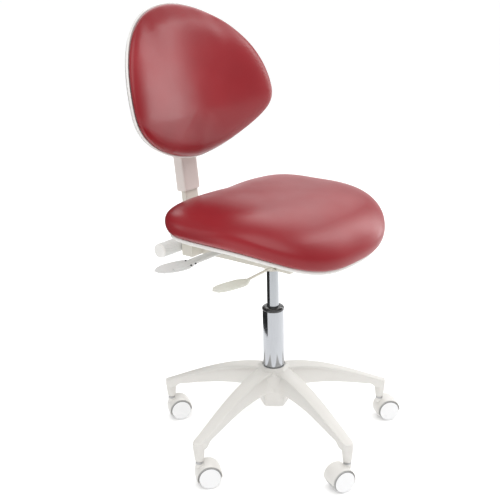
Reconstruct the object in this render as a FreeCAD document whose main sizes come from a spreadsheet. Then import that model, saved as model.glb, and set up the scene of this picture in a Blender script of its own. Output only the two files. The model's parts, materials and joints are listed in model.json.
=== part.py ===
"""Dental stool: five-arm caster base, gas lift, tilting saddle-front seat and adjustable wing backrest.

Units are millimetres. The origin is on the floor, on the lift column's axis. +Z is up, the sitter faces -Y
and the sitter's right hand, where the levers and the clamp knob are, is at -X.
"""
import FreeCAD, Part, Sketcher
import math
import os

DRIVING_SIZES = {
    # five-arm base
    "post_circle": 275.8, "first_arm_angle": 36.0, "arm_half_width_hub": 20.0, "arm_half_width_end": 13.0,
    "hub_top": 189.0, "hub_bottom": 91.0, "hub_apothem": 33.0, "hub_bore": 28.0, "post_bottom": 60.0,
    "post_top": 106.0, "post_radius": 10.5, "post_taper": 4.0, "socket_radius": 8.0,
    # gas lift
    "column_radius": 25.0, "column_wall": 2.0, "column_bottom": 93.0, "column_top": 329.0,
    "bush_height": 10.0, "bush_radius": 26.0, "lift_radius": 14.0, "lift_bottom": 199.0, "lift_top": 439.0,
    "rod_radius": 5.0, "piston_height": 266.0, "running_gap": 0.05, "valve_radius": 4.0,
    # mechanism under the seat
    "housing_half_width": 35.0, "housing_wall": 4.0, "housing_floor": 441.0, "housing_top": 494.0,
    "housing_front": 75.0, "housing_rear": 254.0, "pivot_pin_radius": 4.0, "seat_pivot_back": -45.0,
    "seat_pivot_height": 474.0, "back_pivot_back": 239.0, "back_pivot_height": 461.0, "bolt_radius": 5.0,
    # seat
    "seat_half_width": 229.0, "seat_front": 227.0, "seat_rear": 153.0, "seat_centre_back": 8.0,
    "seat_front_power": 2.86, "seat_rear_power": 3.97, "rim_height": 546.0, "front_drop": 41.0,
    "drop_reach": 200.0, "cushion_height": 64.0, "cushion_overhang": 10.0, "seat_edge_round": 24.0,
    "pan_depth": 20.0, "board_depth": 13.0, "plate_top": 518.0,
    # backrest
    "bar_lean": 6.0, "bar_half_width": 23.0, "bar_top": 270.0, "sleeve_half_width": 27.5,
    "sleeve_half_depth": 15.5, "sleeve_bottom": 123.0, "sleeve_top": 316.0, "back_lean": 13.0,
    "back_half_width": 234.0, "back_upper": 237.0, "back_lower": 120.0, "back_upper_power": 1.9,
    "back_lower_power": 1.65, "back_centre_height": 789.0, "back_face": 244.0, "back_curve_radius": 410.0,
    "back_cushion_depth": 36.0, "back_board_depth": 9.0, "back_shell_depth": 3.0,
    # levers and knob
    "lever_rod_radius": 3.0, "lever_pivot_across": 28.0, "lever_pivot_radius": 2.5, "height_lever_back": -30.0,
    "tilt_lever_back": 110.0, "knob_radius": 17.5, "knob_length": 82.0, "knob_start": 45.0,
    # casters
    "wheel_radius": 26.0, "caster_trail": 19.0, "hood_radius": 29.0, "wheel_gap": 1.2, "web_half": 3.3,
    "wheel_inner": 4.7, "wheel_outer": 23.0, "cap_thickness": 3.0, "axle_radius": 4.0, "stem_radius": 5.5,
}
ARM_COUNT = 5
CASTER_HEADINGS = (100.0, -36.0, -40.0, 154.0, -40.0)
X_AXIS, Y_AXIS, Z_AXIS = (FreeCAD.Vector(*axis) for axis in ((1, 0, 0), (0, 1, 0), (0, 0, 1)))

document = FreeCAD.newDocument("DentalStool")
sheet = document.addObject("Spreadsheet::Sheet", "Sizes")
for row, (alias, value) in enumerate(DRIVING_SIZES.items(), start=1):
    sheet.set(f"A{row}", alias)
    sheet.set(f"B{row}", str(value))
    sheet.setAlias(f"B{row}", alias)
document.recompute()


class Size:
    """A length or angle that keeps the sheet expression it came from."""

    def __init__(self, value, text=None):
        self.value = value
        self.text = text or repr(float(value))

    def combine(self, other, sign, value_of):
        other = as_size(other)
        return Size(value_of(self.value, other.value), f"({self.text} {sign} {other.text})")

    def __add__(self, other):
        return self.combine(other, "+", lambda a, b: a + b)

    def __sub__(self, other):
        return self.combine(other, "-", lambda a, b: a - b)

    def __mul__(self, other):
        return self.combine(other, "*", lambda a, b: a * b)

    def __truediv__(self, other):
        return self.combine(other, "/", lambda a, b: a / b)

    def __neg__(self):
        return Size(-self.value, f"(0 - {self.text})")


def as_size(number):
    return number if isinstance(number, Size) else Size(number)


def size(alias):
    """The sheet's cell of that name."""
    return Size(float(sheet.get(alias)), f"Sizes.{alias}")


def bind(thing, name, amount):
    """Gives a property its sheet expression, or a plain number where no cell drives it."""
    amount = as_size(amount)
    if "Sizes." in amount.text:
        thing.setExpression(name, amount.text)
    else:
        setattr(thing, name, amount.value)


def place(thing, centre=(0, 0, 0), turn=None):
    """Puts a sub-part at a centre, after an optional turn given as (axis, degrees)."""
    rotation = turn if isinstance(turn, FreeCAD.Rotation) else FreeCAD.Rotation(*turn) if turn else None
    base = FreeCAD.Vector(*(as_size(part).value for part in centre))
    thing.Placement = FreeCAD.Placement(base, rotation or FreeCAD.Rotation())
    for letter, part in zip("xyz", centre):
        if "Sizes." in as_size(part).text:
            thing.setExpression(f"Placement.Base.{letter}", as_size(part).text)
    return thing


def name_part(thing, label):
    """Marks a finished sub-part: its label is its file's name."""
    thing.Label = label
    finished.append(thing)
    return thing


finished = []


# ---- Part primitives -------------------------------------------------------------------------------------

def cylinder(radius, height, centre=(0, 0, 0), turn=None):
    solid = document.addObject("Part::Cylinder", "Cylinder")
    bind(solid, "Radius", radius)
    bind(solid, "Height", height)
    return place(solid, centre, turn)


def box(length, width, height, corner=(0, 0, 0), turn=None):
    solid = document.addObject("Part::Box", "Box")
    bind(solid, "Length", length)
    bind(solid, "Width", width)
    bind(solid, "Height", height)
    return place(solid, corner, turn)


def cut(base, *tools):
    for tool in tools:
        result = document.addObject("Part::Cut", "Cut")
        result.Base, result.Tool = base, tool
        base = result
    return base


def fuse(*shapes):
    result = document.addObject("Part::MultiFuse", "Fuse")
    result.Shapes = list(shapes)
    result.Refine = True
    return result


def common(first, second):
    result = document.addObject("Part::Common", "Common")
    result.Base, result.Tool = first, second
    return result


def group(*shapes):
    result = document.addObject("Part::Compound", "Group")
    result.Links = list(shapes)
    return result


# ---- PartDesign bodies -----------------------------------------------------------------------------------

def new_body():
    return document.addObject("PartDesign::Body", "Body")


def new_sketch(body, role, height=None):
    """A sketch on one of the body's own origin planes, lifted along the plane's normal if height is given."""
    sketch = body.newObject("Sketcher::SketchObject", "Sketch")
    plane = next(plane for plane in body.Origin.OriginFeatures if plane.Role == role)
    sketch.AttachmentSupport = (plane, "")
    sketch.MapMode = "FlatFace"
    if height is not None:
        sketch.AttachmentOffset = FreeCAD.Placement(FreeCAD.Vector(0, 0, as_size(height).value),
                                                    FreeCAD.Rotation())
        if "Sizes." in as_size(height).text:
            sketch.setExpression("AttachmentOffset.Base.z", as_size(height).text)
    return sketch


def pin_coordinate(sketch, kind, geometry, point, amount):
    """Holds one coordinate of a sketch point at its size, on the right side of the sketch's origin."""
    amount = as_size(amount)
    if abs(amount.value) < 1e-9:
        axis = -2 if kind == "DistanceX" else -1
        sketch.addConstraint(Sketcher.Constraint("PointOnObject", geometry, point, axis))
        return
    ends = (-1, 1, geometry, point) if amount.value > 0 else (geometry, point, -1, 1)
    index = sketch.addConstraint(Sketcher.Constraint(kind, *ends, abs(amount.value)))
    if "Sizes." in amount.text:
        sketch.setExpression(f"Constraints[{index}]", amount.text if amount.value > 0 else (-amount).text)


def draw_polygon(sketch, corners):
    """A closed outline of straight lines whose every corner is held by sheet sizes."""
    points = [FreeCAD.Vector(as_size(x).value, as_size(y).value, 0) for x, y in corners]
    first = sketch.GeometryCount
    for here, following in zip(points, points[1:] + points[:1]):
        sketch.addGeometry(Part.LineSegment(here, following), False)
    for index, (x, y) in enumerate(corners):
        line, following = first + index, first + (index + 1) % len(corners)
        sketch.addConstraint(Sketcher.Constraint("Coincident", line, 2, following, 1))
        pin_coordinate(sketch, "DistanceX", line, 1, x)
        pin_coordinate(sketch, "DistanceY", line, 1, y)


def draw_circle(sketch, x, y, radius):
    centre = FreeCAD.Vector(as_size(x).value, as_size(y).value, 0)
    circle = sketch.addGeometry(Part.Circle(centre, FreeCAD.Vector(0, 0, 1), as_size(radius).value), False)
    pin_coordinate(sketch, "DistanceX", circle, 3, x)
    pin_coordinate(sketch, "DistanceY", circle, 3, y)
    index = sketch.addConstraint(Sketcher.Constraint("Radius", circle, as_size(radius).value))
    if "Sizes." in as_size(radius).text:
        sketch.setExpression(f"Constraints[{index}]", as_size(radius).text)


def pad(body, sketch, length, midplane=False, taper=0):
    feature = body.newObject("PartDesign::Pad", "Pad")
    feature.Profile = sketch
    bind(feature, "Length", length)
    feature.Midplane = midplane
    if taper:
        bind(feature, "TaperAngle", taper)
    return feature


def turned(corners, centre=(0, 0, 0), turn=None):
    """A body of revolution about its own Z axis; corners are (radius, height)."""
    body = new_body()
    sketch = new_sketch(body, "XZ_Plane")
    draw_polygon(sketch, corners)
    feature = body.newObject("PartDesign::Revolution", "Revolution")
    feature.Profile = sketch
    feature.ReferenceAxis = (sketch, ["V_Axis"])
    feature.Angle = 360
    return place(body, centre, turn)


def tube(inner, outer, low, high, centre=(0, 0, 0), turn=None):
    return turned([(inner, low), (outer, low), (outer, high), (inner, high)], centre, turn)


def plate(corners, low, thickness, centre=(0, 0, 0), turn=None):
    """A flat plate: an outline in the XY plane with a thickness along Z."""
    body = new_body()
    sketch = new_sketch(body, "XY_Plane", low)
    draw_polygon(sketch, corners)
    pad(body, sketch, thickness)
    return place(body, centre, turn)


# ---- Free-form outlines ----------------------------------------------------------------------------------

def rounded_outline(half_width, ahead, behind, ahead_power, behind_power, points=40):
    """A closed curve of two half superellipses, |x/a|^n + |y/b|^n = 1, that meet at the widest line."""
    corners = []
    for step in range(points):
        angle = 2 * math.pi * step / points
        length, power = (ahead, ahead_power) if math.sin(angle) > 0 else (behind, behind_power)
        across = math.copysign(abs(math.cos(angle)) ** (2 / power), math.cos(angle))
        along = math.copysign(abs(math.sin(angle)) ** (2 / power), math.sin(angle))
        corners.append(FreeCAD.Vector(half_width * across, length * along, 0))
    curve = Part.BSplineCurve()
    curve.interpolate(Points=corners, PeriodicFlag=True)
    return Part.Face(Part.Wire(curve.toShape()))


def solid_feature(shape, placement=None):
    """A document object for a free-form solid; its sizes are read from the sheet by the code that made it."""
    feature = document.addObject("Part::Feature", "FreeForm")
    feature.Shape = shape
    feature.Placement = placement or FreeCAD.Placement()
    return feature


# ---- Five-arm base ---------------------------------------------------------------------------------------

def make_base():
    """One moulding: hub, five tapering arms and their caster posts."""
    star = new_body()
    side = new_sketch(star, "XZ_Plane")
    circle = size("post_circle")
    top, bottom = size("hub_top"), size("post_bottom")
    draw_polygon(side, [(30, top - 6), (87, top - 11), (150, top - 28), (212, top - 52), (circle, top - 80),
                        (circle, top - 96), (236, top - 84), (190, top - 75), (120, top - 63), (30, top - 60)])
    arm = pad(star, side, size("arm_half_width_hub") * 2, midplane=True)
    hub_plan = new_sketch(star, "XY_Plane", size("hub_bottom"))
    corner = size("hub_apothem") / math.cos(math.pi / ARM_COUNT)
    turns = [2 * math.pi * step / ARM_COUNT for step in range(ARM_COUNT)]
    draw_polygon(hub_plan, [(corner * math.cos(turn), corner * math.sin(turn)) for turn in turns])
    post_plan = new_sketch(star, "XY_Plane", bottom)
    draw_circle(post_plan, circle, 0, size("post_radius"))
    post = pad(star, post_plan, size("post_top") - bottom, taper=size("post_taper"))
    bore_plan = new_sketch(star, "XY_Plane", bottom)
    draw_circle(bore_plan, circle, 0, size("socket_radius") + size("running_gap"))
    bore = star.newObject("PartDesign::Pocket", "SocketBore")
    bore.Profile = bore_plan
    bore.Reversed = True
    bind(bore, "Length", size("post_top") - bottom - 8)
    sides = new_sketch(star, "XY_Plane", top)
    wide, narrow = size("arm_half_width_hub"), size("arm_half_width_end")
    for sign in (1, -1):
        draw_polygon(sides, [(30, (wide + 1) * sign), (30, wide * sign), (circle - 12, narrow * sign),
                             (circle - 12, (wide + 1) * sign)])
    flanks = star.newObject("PartDesign::Pocket", "Flanks")
    flanks.Profile = sides
    bind(flanks, "Length", top - bottom)
    document.recompute()
    pattern = star.newObject("PartDesign::PolarPattern", "ArmPattern")
    pattern.Originals = [arm, post, bore, flanks]
    axis = next(line for line in star.Origin.OriginFeatures if line.Role == "Z_Axis")
    pattern.Axis = (axis, [""])
    pattern.Angle = 360
    pattern.Occurrences = ARM_COUNT
    star.Tip = pattern
    document.recompute()
    star.Tip = pad(star, hub_plan, top - size("hub_bottom"))
    document.recompute()
    hub_bore_plan = new_sketch(star, "XY_Plane", size("hub_bottom") - 1)
    draw_circle(hub_bore_plan, 0, 0, size("hub_bore"))
    hub_bore = star.newObject("PartDesign::Pocket", "HubBore")
    hub_bore.Profile = hub_bore_plan
    hub_bore.Reversed = True
    bind(hub_bore, "Length", top - size("hub_bottom") + 2)
    star.Tip = hub_bore
    place(star, turn=(Z_AXIS, size("first_arm_angle").value))
    name_part(star, "base_star")
    gap = size("running_gap")
    name_part(tube(size("column_radius"), size("hub_bore") - gap, size("hub_bottom") + 3, top - 3), "hub_sleeve")
    sockets = [tube(size("stem_radius") + gap, size("socket_radius"), bottom, bottom + 36, (x, y, 0))
               for x, y in post_places()]
    name_part(group(*sockets), "caster_sockets")


def arm_angles():
    return [math.radians(size("first_arm_angle").value + 360 / ARM_COUNT * arm) for arm in range(ARM_COUNT)]


def post_places():
    """Centres of the five caster posts."""
    circle = size("post_circle")
    return [(circle * math.cos(angle), circle * math.sin(angle)) for angle in arm_angles()]


# ---- Gas lift --------------------------------------------------------------------------------------------

def make_lift():
    gap = size("running_gap")
    outer, low, high = size("column_radius"), size("column_bottom"), size("column_top")
    inner, rod = outer - size("column_wall"), size("rod_radius")
    name_part(turned([(rod + gap, low), (outer, low), (outer, high), (inner, high), (inner, low + 3),
                      (rod + gap, low + 3)]), "column_tube")
    lift, collar = size("lift_radius"), size("bush_radius")
    name_part(turned([(lift + gap, high - 60), (inner - gap, high - 60), (inner - gap, high), (collar, high),
                      (collar, high + size("bush_height") - 2), (collar - 2, high + size("bush_height")),
                      (lift + gap, high + size("bush_height"))]), "column_bush")
    name_part(tube(rod + 1, rod + 10, low + 3, low + 9), "thrust_bearing")
    piston = size("piston_height")
    name_part(turned([(0, low - 8), (rod, low - 8), (rod, low + 9), (rod + 5, low + 9), (rod + 5, low + 12),
                      (rod, low + 12), (rod, piston - 10), (lift - 2.5, piston - 10), (lift - 2.5, piston),
                      (0, piston)]), "piston_rod")
    name_part(tube(rod, rod + 3.5, low - 4, low - 0.2), "rod_clip")
    bottom, top, valve = size("lift_bottom"), size("lift_top"), size("valve_radius")
    bore = lift - 2
    name_part(turned([(rod + gap, bottom), (lift, bottom), (lift, top), (valve + gap, top),
                      (valve + gap, top - 15), (bore, top - 15), (bore, bottom + 8),
                      (rod + gap, bottom + 8)]), "gas_cylinder")
    name_part(tube(lift, inner - gap * 4, bottom, bottom + 10), "cylinder_guide")
    name_part(tube(0, valve, top - 9, top + 7.8), "valve_pin")
    name_part(tube(lift, lift + 5, top - 10, size("housing_floor")), "taper_socket")


# ---- Mechanism -------------------------------------------------------------------------------------------

def make_mechanism():
    """A U-shaped housing with its two cross pins."""
    half, wall, floor = size("housing_half_width"), size("housing_wall"), size("housing_floor")
    front, rear, top = size("housing_front"), size("housing_rear"), size("housing_top")
    gap, pin, bolt = size("running_gap"), size("pivot_pin_radius"), size("bolt_radius")
    outside = box(half * 2, front + rear, top - floor, (-half, -front, floor))
    inside = box((half - wall) * 2, front + rear + 2, top - floor, (wall - half, -front - 1, floor + wall))
    channel = cut(outside, inside)
    tail = box(half * 2 + 2, rear - 170, top, (-half - 1, 190, size("back_pivot_height") + 18))
    valve_way = cylinder(8, 20, (0, 0, floor - 5))
    seat_hole = across(pin + gap, half * 2 + 2, size("seat_pivot_back"), size("seat_pivot_height"))
    back_hole = across(bolt + gap, half * 2 + 2, size("back_pivot_back"), size("back_pivot_height"))
    height_window = box(wall + 2, 16, 20, (-half - 1, size("height_lever_back") - 8, floor + 3))
    tilt_window = box(wall + 2, 24, 26, (-half - 1, size("tilt_lever_back") - 12, floor + 10))
    height_back, tilt_back = size("height_lever_back"), size("tilt_lever_back")
    tabs = [box(half - wall - 23, 3, rise, (wall - half, back, floor + 1))
            for back, rise in ((height_back - 12, 17), (height_back + 9, 17), (tilt_back - 15, 28),
                               (tilt_back + 12, 28))]
    cheek = box(half + 1, 32, 36, (-half * 2, 185, floor))
    frame = fuse(cut(channel, tail, valve_way), cheek, *tabs)
    bores = [lever_shaft(size("lever_pivot_radius") + gap, *shaft) for shaft in lever_shafts()]
    name_part(cut(frame, seat_hole, back_hole, height_window, tilt_window, *bores), "mech_housing")
    name_part(headed_pin(pin, half, size("seat_pivot_back"), size("seat_pivot_height")), "seat_pivot_pin")
    name_part(headed_pin(bolt, half, size("back_pivot_back"), size("back_pivot_height")), "back_pivot_bolt")


def across(radius, length, back, height):
    """A cylinder along X, centred on the stool's middle plane."""
    length = as_size(length)
    return cylinder(radius, length, (-length / 2, back, height), (Y_AXIS, 90))


def lever_shafts():
    """Where each lever's cross shaft runs along Y: its start, its length and its height."""
    floor = size("housing_floor")
    return (size("height_lever_back") - 13, 26, floor + 10), (size("tilt_lever_back") - 16, 32, floor + 23)


def lever_shaft(radius, start, length, height):
    return cylinder(radius, length, (-size("lever_pivot_across"), start, height), (X_AXIS, -90))


def headed_pin(radius, half, back, height):
    """A cross pin along X with a head at the sitter's left."""
    return turned([(0, -half - 0.5), (radius, -half - 0.5), (radius, half), (radius + 3, half),
                   (radius + 3, half + 4), (0, half + 4)], (0, back, height), (Y_AXIS, 90))


def make_levers():
    """A cranked height lever that presses the valve pin, and a flat tilt lever; each turns on a cross shaft."""
    rod, front, rear = size("lever_rod_radius"), size("height_lever_back"), size("tilt_lever_back")
    height_shaft, tilt_shaft = (lever_shaft(size("lever_pivot_radius"), *shaft) for shaft in lever_shafts())
    height = size("housing_floor") + 10
    outwards = FreeCAD.Rotation(Y_AXIS, -92)
    crank = FreeCAD.Vector(24, -front.value, 0)
    inner = cylinder(rod, crank.Length + 4, (-24, front, height), FreeCAD.Rotation(Z_AXIS, crank))
    name_part(fuse(cylinder(rod, 128, (-22, front, height), outwards), inner, height_shaft), "height_lever_rod")
    name_part(cut(rounded_bar(68, 38, 8, (-174, -23, height - 9), FreeCAD.Rotation(Z_AXIS, -16)),
                  cylinder(rod, 129, (-22, front, height), outwards)), "height_lever_paddle")
    floor = size("housing_floor")
    strip = plate([(-22, rear - 8), (-22, rear + 8), (-172, rear + 22), (-172, rear + 6)], floor + 21, 4)
    name_part(fuse(strip, tilt_shaft), "tilt_lever_arm")
    name_part(rounded_bar(72, 36, 8, (-189, 135, floor + 13), FreeCAD.Rotation(Z_AXIS, -22)),
              "tilt_lever_paddle")


def rounded_bar(length, width, thickness, centre, rotation):
    """A flat bar with round ends, along its own X axis."""
    middle = box(length - width, width, thickness, ((width - length) / 2, -width / 2, 0))
    ends = [cylinder(width / 2, thickness, (sign * (length - width) / 2, 0, 0)) for sign in (1, -1)]
    return place(fuse(middle, *ends), centre, rotation)


# ---- Seat ------------------------------------------------------------------------------------------------

def seat_outline(inset, height):
    """A tall prism of the seat's plan, its edge moved in by inset."""
    face = rounded_outline(size("seat_half_width").value - inset, size("seat_front").value - inset,
                           size("seat_rear").value - inset, size("seat_front_power").value,
                           size("seat_rear_power").value)
    prism = face.extrude(FreeCAD.Vector(0, 0, height))
    turn = FreeCAD.Rotation(Z_AXIS, 180)
    return solid_feature(prism, FreeCAD.Placement(FreeCAD.Vector(0, size("seat_centre_back").value,
                                                                  size("rim_height").value - 120), turn))


def seat_slab(low, high):
    """The layer between two copies of the rim line, which drops with the cube of the reach towards the front."""
    rim, drop, reach = size("rim_height").value, size("front_drop").value, size("drop_reach").value
    backs = [250, 100, 0, -60, -120, -180, -250]

    def edge(offset, order):
        points = [FreeCAD.Vector(-260, back, rim + offset - drop * max(-back / reach, 0) ** 3) for back in order]
        curve = Part.BSplineCurve()
        curve.interpolate(points)
        return curve.toShape(), points[0], points[-1]
    upper, upper_start, upper_end = edge(high, backs)
    lower, lower_start, lower_end = edge(low, backs[::-1])
    wire = Part.Wire([upper, Part.makeLine(upper_end, lower_start), lower, Part.makeLine(lower_end, upper_start)])
    return solid_feature(Part.Face(wire).extrude(FreeCAD.Vector(520, 0, 0)))


def make_seat():
    pan_depth, board = size("pan_depth").value, size("board_depth").value
    half, wall = size("housing_half_width"), size("housing_wall")
    top = size("plate_top")
    shell = cut(common(seat_outline(0, 300), seat_slab(-pan_depth, -2)),
                common(seat_outline(5, 300), seat_slab(-board - 1, 40)))
    boss = cut(box(150, 180, 12, (-75, -75, top)), common(seat_outline(0, 300), seat_slab(-board - 1, 60)))
    name_part(fuse(shell, boss), "seat_pan")
    name_part(common(seat_outline(14, 300), seat_slab(-board - 1, -1)), "seat_board")
    block = common(seat_outline(-size("cushion_overhang").value, 300), seat_slab(0, size("cushion_height").value))
    name_part(softened(block, size("seat_edge_round"), highest_edges), "seat_cushion")
    pin = size("pivot_pin_radius") + size("running_gap")
    ears = [box(wall, 34, 48, ((half - wall * 2 - 1) * sign - wall / 2, -62, top - 52)) for sign in (1, -1)]
    hole = across(pin, 80, size("seat_pivot_back"), size("seat_pivot_height"))
    name_part(cut(fuse(box(150, 180, 4, (-75, -75, top - 4)), *ears), hole), "seat_plate")
    screws = [screw(3, 23, (x, y, top - 4)) for x in (-62, 62) for y in (-60, 90)]
    name_part(group(*screws), "seat_screws")


def softened(solid, radius, choose_edges):
    """Rounds the edges that a rule picks from a finished solid."""
    document.recompute()
    result = document.addObject("Part::Fillet", "Softened")
    result.Base = solid
    result.Edges = [(number, radius.value, radius.value) for number in choose_edges(solid.Shape)]
    return result


def highest_edges(shape):
    """The edges round the face whose middle is highest."""
    top = max(shape.Faces, key=lambda face: face.CenterOfMass.z)
    return [number for number, edge in enumerate(shape.Edges, start=1)
            if any(edge.isSame(other) for other in top.Edges)]


def screw(radius, length, centre, turn=None):
    """A screw along its own Z axis: a low head below the origin and a shank above it."""
    return turned([(0, -3), (radius * 2, -3), (radius * 2, 0), (radius, 0), (radius, length), (0, length)],
                  centre, turn)


# ---- Backrest --------------------------------------------------------------------------------------------

def bar_place(across_x=0, back=0, up=0):
    """A place in the bar's leaning frame, whose origin is on the back pivot."""
    turn = FreeCAD.Rotation(X_AXIS, -size("bar_lean").value)
    base = FreeCAD.Vector(0, size("back_pivot_back").value, size("back_pivot_height").value)
    return FreeCAD.Placement(base + turn.multVec(FreeCAD.Vector(across_x, back, up)), turn)


def lean(thing, placement):
    """Carries a finished thing, with its own place, into another frame."""
    carrier = group(thing)
    carrier.Placement = placement
    return carrier


def make_back_bar():
    half, top = size("bar_half_width"), size("bar_top")
    bar = box(half * 2, 16, top, (-half, -10, 0))
    eye = cylinder(15, 61, (-30.5, 0, 0), (Y_AXIS, 90))
    bore = cylinder(size("bolt_radius") + size("running_gap"), 64, (-32, 0, 0), (Y_AXIS, 90))
    name_part(lean(cut(fuse(bar, eye), bore), bar_place()), "back_bar")
    body = new_body()
    side = new_sketch(body, "YZ_Plane")
    teeth = [(6, 150)]
    for tooth in range(11):
        teeth += [(8, 150 + tooth * 10), (10, 150 + tooth * 10), (8, 157 + tooth * 10)]
    draw_polygon(side, teeth + [(8, 260), (6, 260)])
    pad(body, side, 14, midplane=True)
    name_part(lean(body, bar_place()), "ratchet_rack")


def back_prism(inset, depth):
    """The backrest's face outline as a prism along its own Y axis."""
    face = rounded_outline(size("back_half_width").value - inset, size("back_upper").value - inset,
                           size("back_lower").value - inset, size("back_upper_power").value,
                           size("back_lower_power").value)
    prism = face.extrude(FreeCAD.Vector(0, 0, depth))
    return solid_feature(prism, FreeCAD.Placement(FreeCAD.Vector(0, 80, 0), FreeCAD.Rotation(X_AXIS, 90)))


def back_layer(inset, front, rear):
    """A layer of the backrest: its outline cut by two coaxial upright cylinders."""
    radius = size("back_curve_radius")
    centre = (0, -radius, -200)
    ring = cut(cylinder(radius + rear, 500, centre), cylinder(radius + front, 500, centre))
    return lean(common(back_prism(inset, 260), ring), back_place())


def back_place(back=0, up=0):
    """A place in the backrest's own leaning frame, whose origin is the middle of the board's front face."""
    turn = FreeCAD.Rotation(X_AXIS, -size("back_lean").value)
    base = FreeCAD.Vector(0, size("back_face").value, size("back_centre_height").value)
    return FreeCAD.Placement(base + turn.multVec(FreeCAD.Vector(0, back, up)), turn)


def make_backrest():
    board, shell = size("back_board_depth"), size("back_shell_depth")
    name_part(back_layer(0, -size("back_cushion_depth"), 0), "back_cushion")
    name_part(back_layer(10, 0.0, board), "back_board")
    name_part(back_layer(-1, board, board + shell), "back_shell")
    half, depth = size("sleeve_half_width"), size("sleeve_half_depth")
    low, high = size("sleeve_bottom"), size("sleeve_top")
    sleeve = cut(box(half * 2, depth * 2, high - low, (-half, -depth, low)),
                 box(half * 2 - 5, depth * 2 - 5, high - low - 3, (-half + 2.5, -depth + 3, low)))
    name_part(lean(sleeve, bar_place()), "back_sleeve")
    block = lean(box(96, 30, 66, (-48, -45.5, 238)), bar_place())
    backrest_space = box(300, 200, 600, (-150, 0, 0))
    wedge = cut(block, lean(backrest_space, back_place(-200 + (board + shell).value, -300)))
    name_part(wedge, "back_bracket")
    screws = [lean(screw(2.5, 17, (0, 0, 0)), bar_place(x, -15.5, up).multiply(
        FreeCAD.Placement(FreeCAD.Vector(), FreeCAD.Rotation(X_AXIS, 90)))) for x in (-38, 38) for up in (252, 290)]
    name_part(group(*screws), "back_screws")
    pawl = box(14, 3, 24, (-7, 10.3, 188))
    name_part(lean(pawl, bar_place()), "ratchet_pawl")


def make_knob():
    back, height = size("back_pivot_back"), size("back_pivot_height")
    start, radius, length = size("knob_start"), size("knob_radius"), size("knob_length")
    stud = size("bolt_radius")
    turn = (Y_AXIS, -90)
    name_part(turned([(stud, start), (radius - 3, start), (radius, start + 4), (radius, start + length - 3),
                      (radius - 3, start + length), (0, start + length), (0, start + 50), (stud, start + 50)],
                     (0, back, height), turn), "back_knob")
    half = size("housing_half_width")
    name_part(turned([(0, half + 1), (stud + 6, half + 1), (stud + 6, start), (stud, start), (stud, start + 50),
                      (0, start + 50)], (0, back, height), turn), "knob_stud")


# ---- Casters ---------------------------------------------------------------------------------------------

def make_caster(number, centre, heading):
    """A hooded twin-wheel caster that trails along its own +X axis."""
    wheel, trail, hood = size("wheel_radius"), size("caster_trail"), size("hood_radius")
    gap, web, axle = size("wheel_gap"), size("web_half"), size("axle_radius")
    inner, outer, cap = size("wheel_inner"), size("wheel_outer"), size("cap_thickness")
    run, stem, post = size("running_gap"), size("stem_radius"), size("post_bottom")
    place_caster = FreeCAD.Placement(FreeCAD.Vector(centre[0].value, centre[1].value, 0),
                                     FreeCAD.Rotation(Z_AXIS, heading))

    def sideways(radius, start, length):
        return cylinder(radius, length, (trail, as_size(start) + length, wheel), (X_AXIS, 90))
    barrel = sideways(hood, -outer + 1.5, (outer - 1.5) * 2)
    boss = cylinder(stem + 4, post - 4 - wheel, (0, 0, wheel))
    upper = box(100, 80, 60, (-40, -40, wheel - 6))
    pockets = [sideways(wheel + gap, web, outer), sideways(wheel + gap, -web - outer, outer)]
    shell = cut(common(fuse(barrel, boss), upper), *pockets)
    hub = sideways(axle + 5, -web, web * 2)
    hooded = cut(fuse(shell, hub), sideways(axle + run, -30, 60))
    name_part(lean(hooded, place_caster), f"caster_hood_{number}")
    name_part(turned([(0, wheel + 25), (stem, wheel + 25), (stem, post - 4), (stem + 3, post - 4),
                      (stem + 3, post - 0.5), (stem, post - 0.5), (stem, post + 34), (stem - 1, post + 36),
                      (0, post + 36)], (centre[0], centre[1], 0)), f"caster_stem_{number}")
    name_part(lean(sideways(axle, -outer, outer * 2), place_caster), f"caster_axle_{number}")
    edge = size("wheel_gap") * 2.5
    tyre = [(axle + run, inner), (wheel - edge, inner), (wheel, inner + edge), (wheel, outer - edge),
            (wheel - edge, outer), (axle + run, outer)]
    dome = [(0, outer), (wheel - 4, outer), (wheel - 5, outer + cap / 2), (wheel / 2, outer + cap), (0, outer + cap)]
    for label, profile in (("wheels", tyre), ("caps", dome)):
        sides = [lean(turned(profile), FreeCAD.Placement(FreeCAD.Vector(trail.value, 0, wheel.value),
                                                         FreeCAD.Rotation(X_AXIS, sign * 90)))
                 for sign in (1, -1)]
        name_part(lean(group(*sides), place_caster), f"caster_{label}_{number}")


def check_and_export():
    """Stops on any failed object or bad shape, then writes one file per sub-part."""
    document.recompute()
    for thing in document.Objects:
        if "Invalid" in thing.State or "Error" in thing.State:
            raise RuntimeError(f"{thing.Name} failed: {thing.State}")
    for part in finished:
        if part.Shape.isNull() or not part.Shape.isValid() or not part.Shape.Solids:
            raise RuntimeError(f"{part.Label} has no valid solid")
    os.makedirs("parts", exist_ok=True)
    for part in finished:
        part.Shape.exportStep(f"parts/{part.Label}.step")
        print(f"{part.Label}: {len(part.Shape.Solids)} solid(s), {part.Shape.Volume / 1000:.1f} cm3")


make_base()
make_lift()
make_mechanism()
make_levers()
make_seat()
make_back_bar()
make_backrest()
make_knob()
for number, (centre, heading) in enumerate(zip(post_places(), CASTER_HEADINGS), start=1):
    make_caster(number, centre, heading)
check_and_export()
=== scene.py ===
# %% [markdown]
# # A dental operator's stool
# A packed design model gives every size and place. Each step below makes one piece or one finish of the
# stool, in metres and in the design's own frame: +Z is up, the sitter faces -Y, and the levers and the
# clamp knob are by the sitter's right hand, at -X.

# %% The design frame
import json
import math

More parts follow.
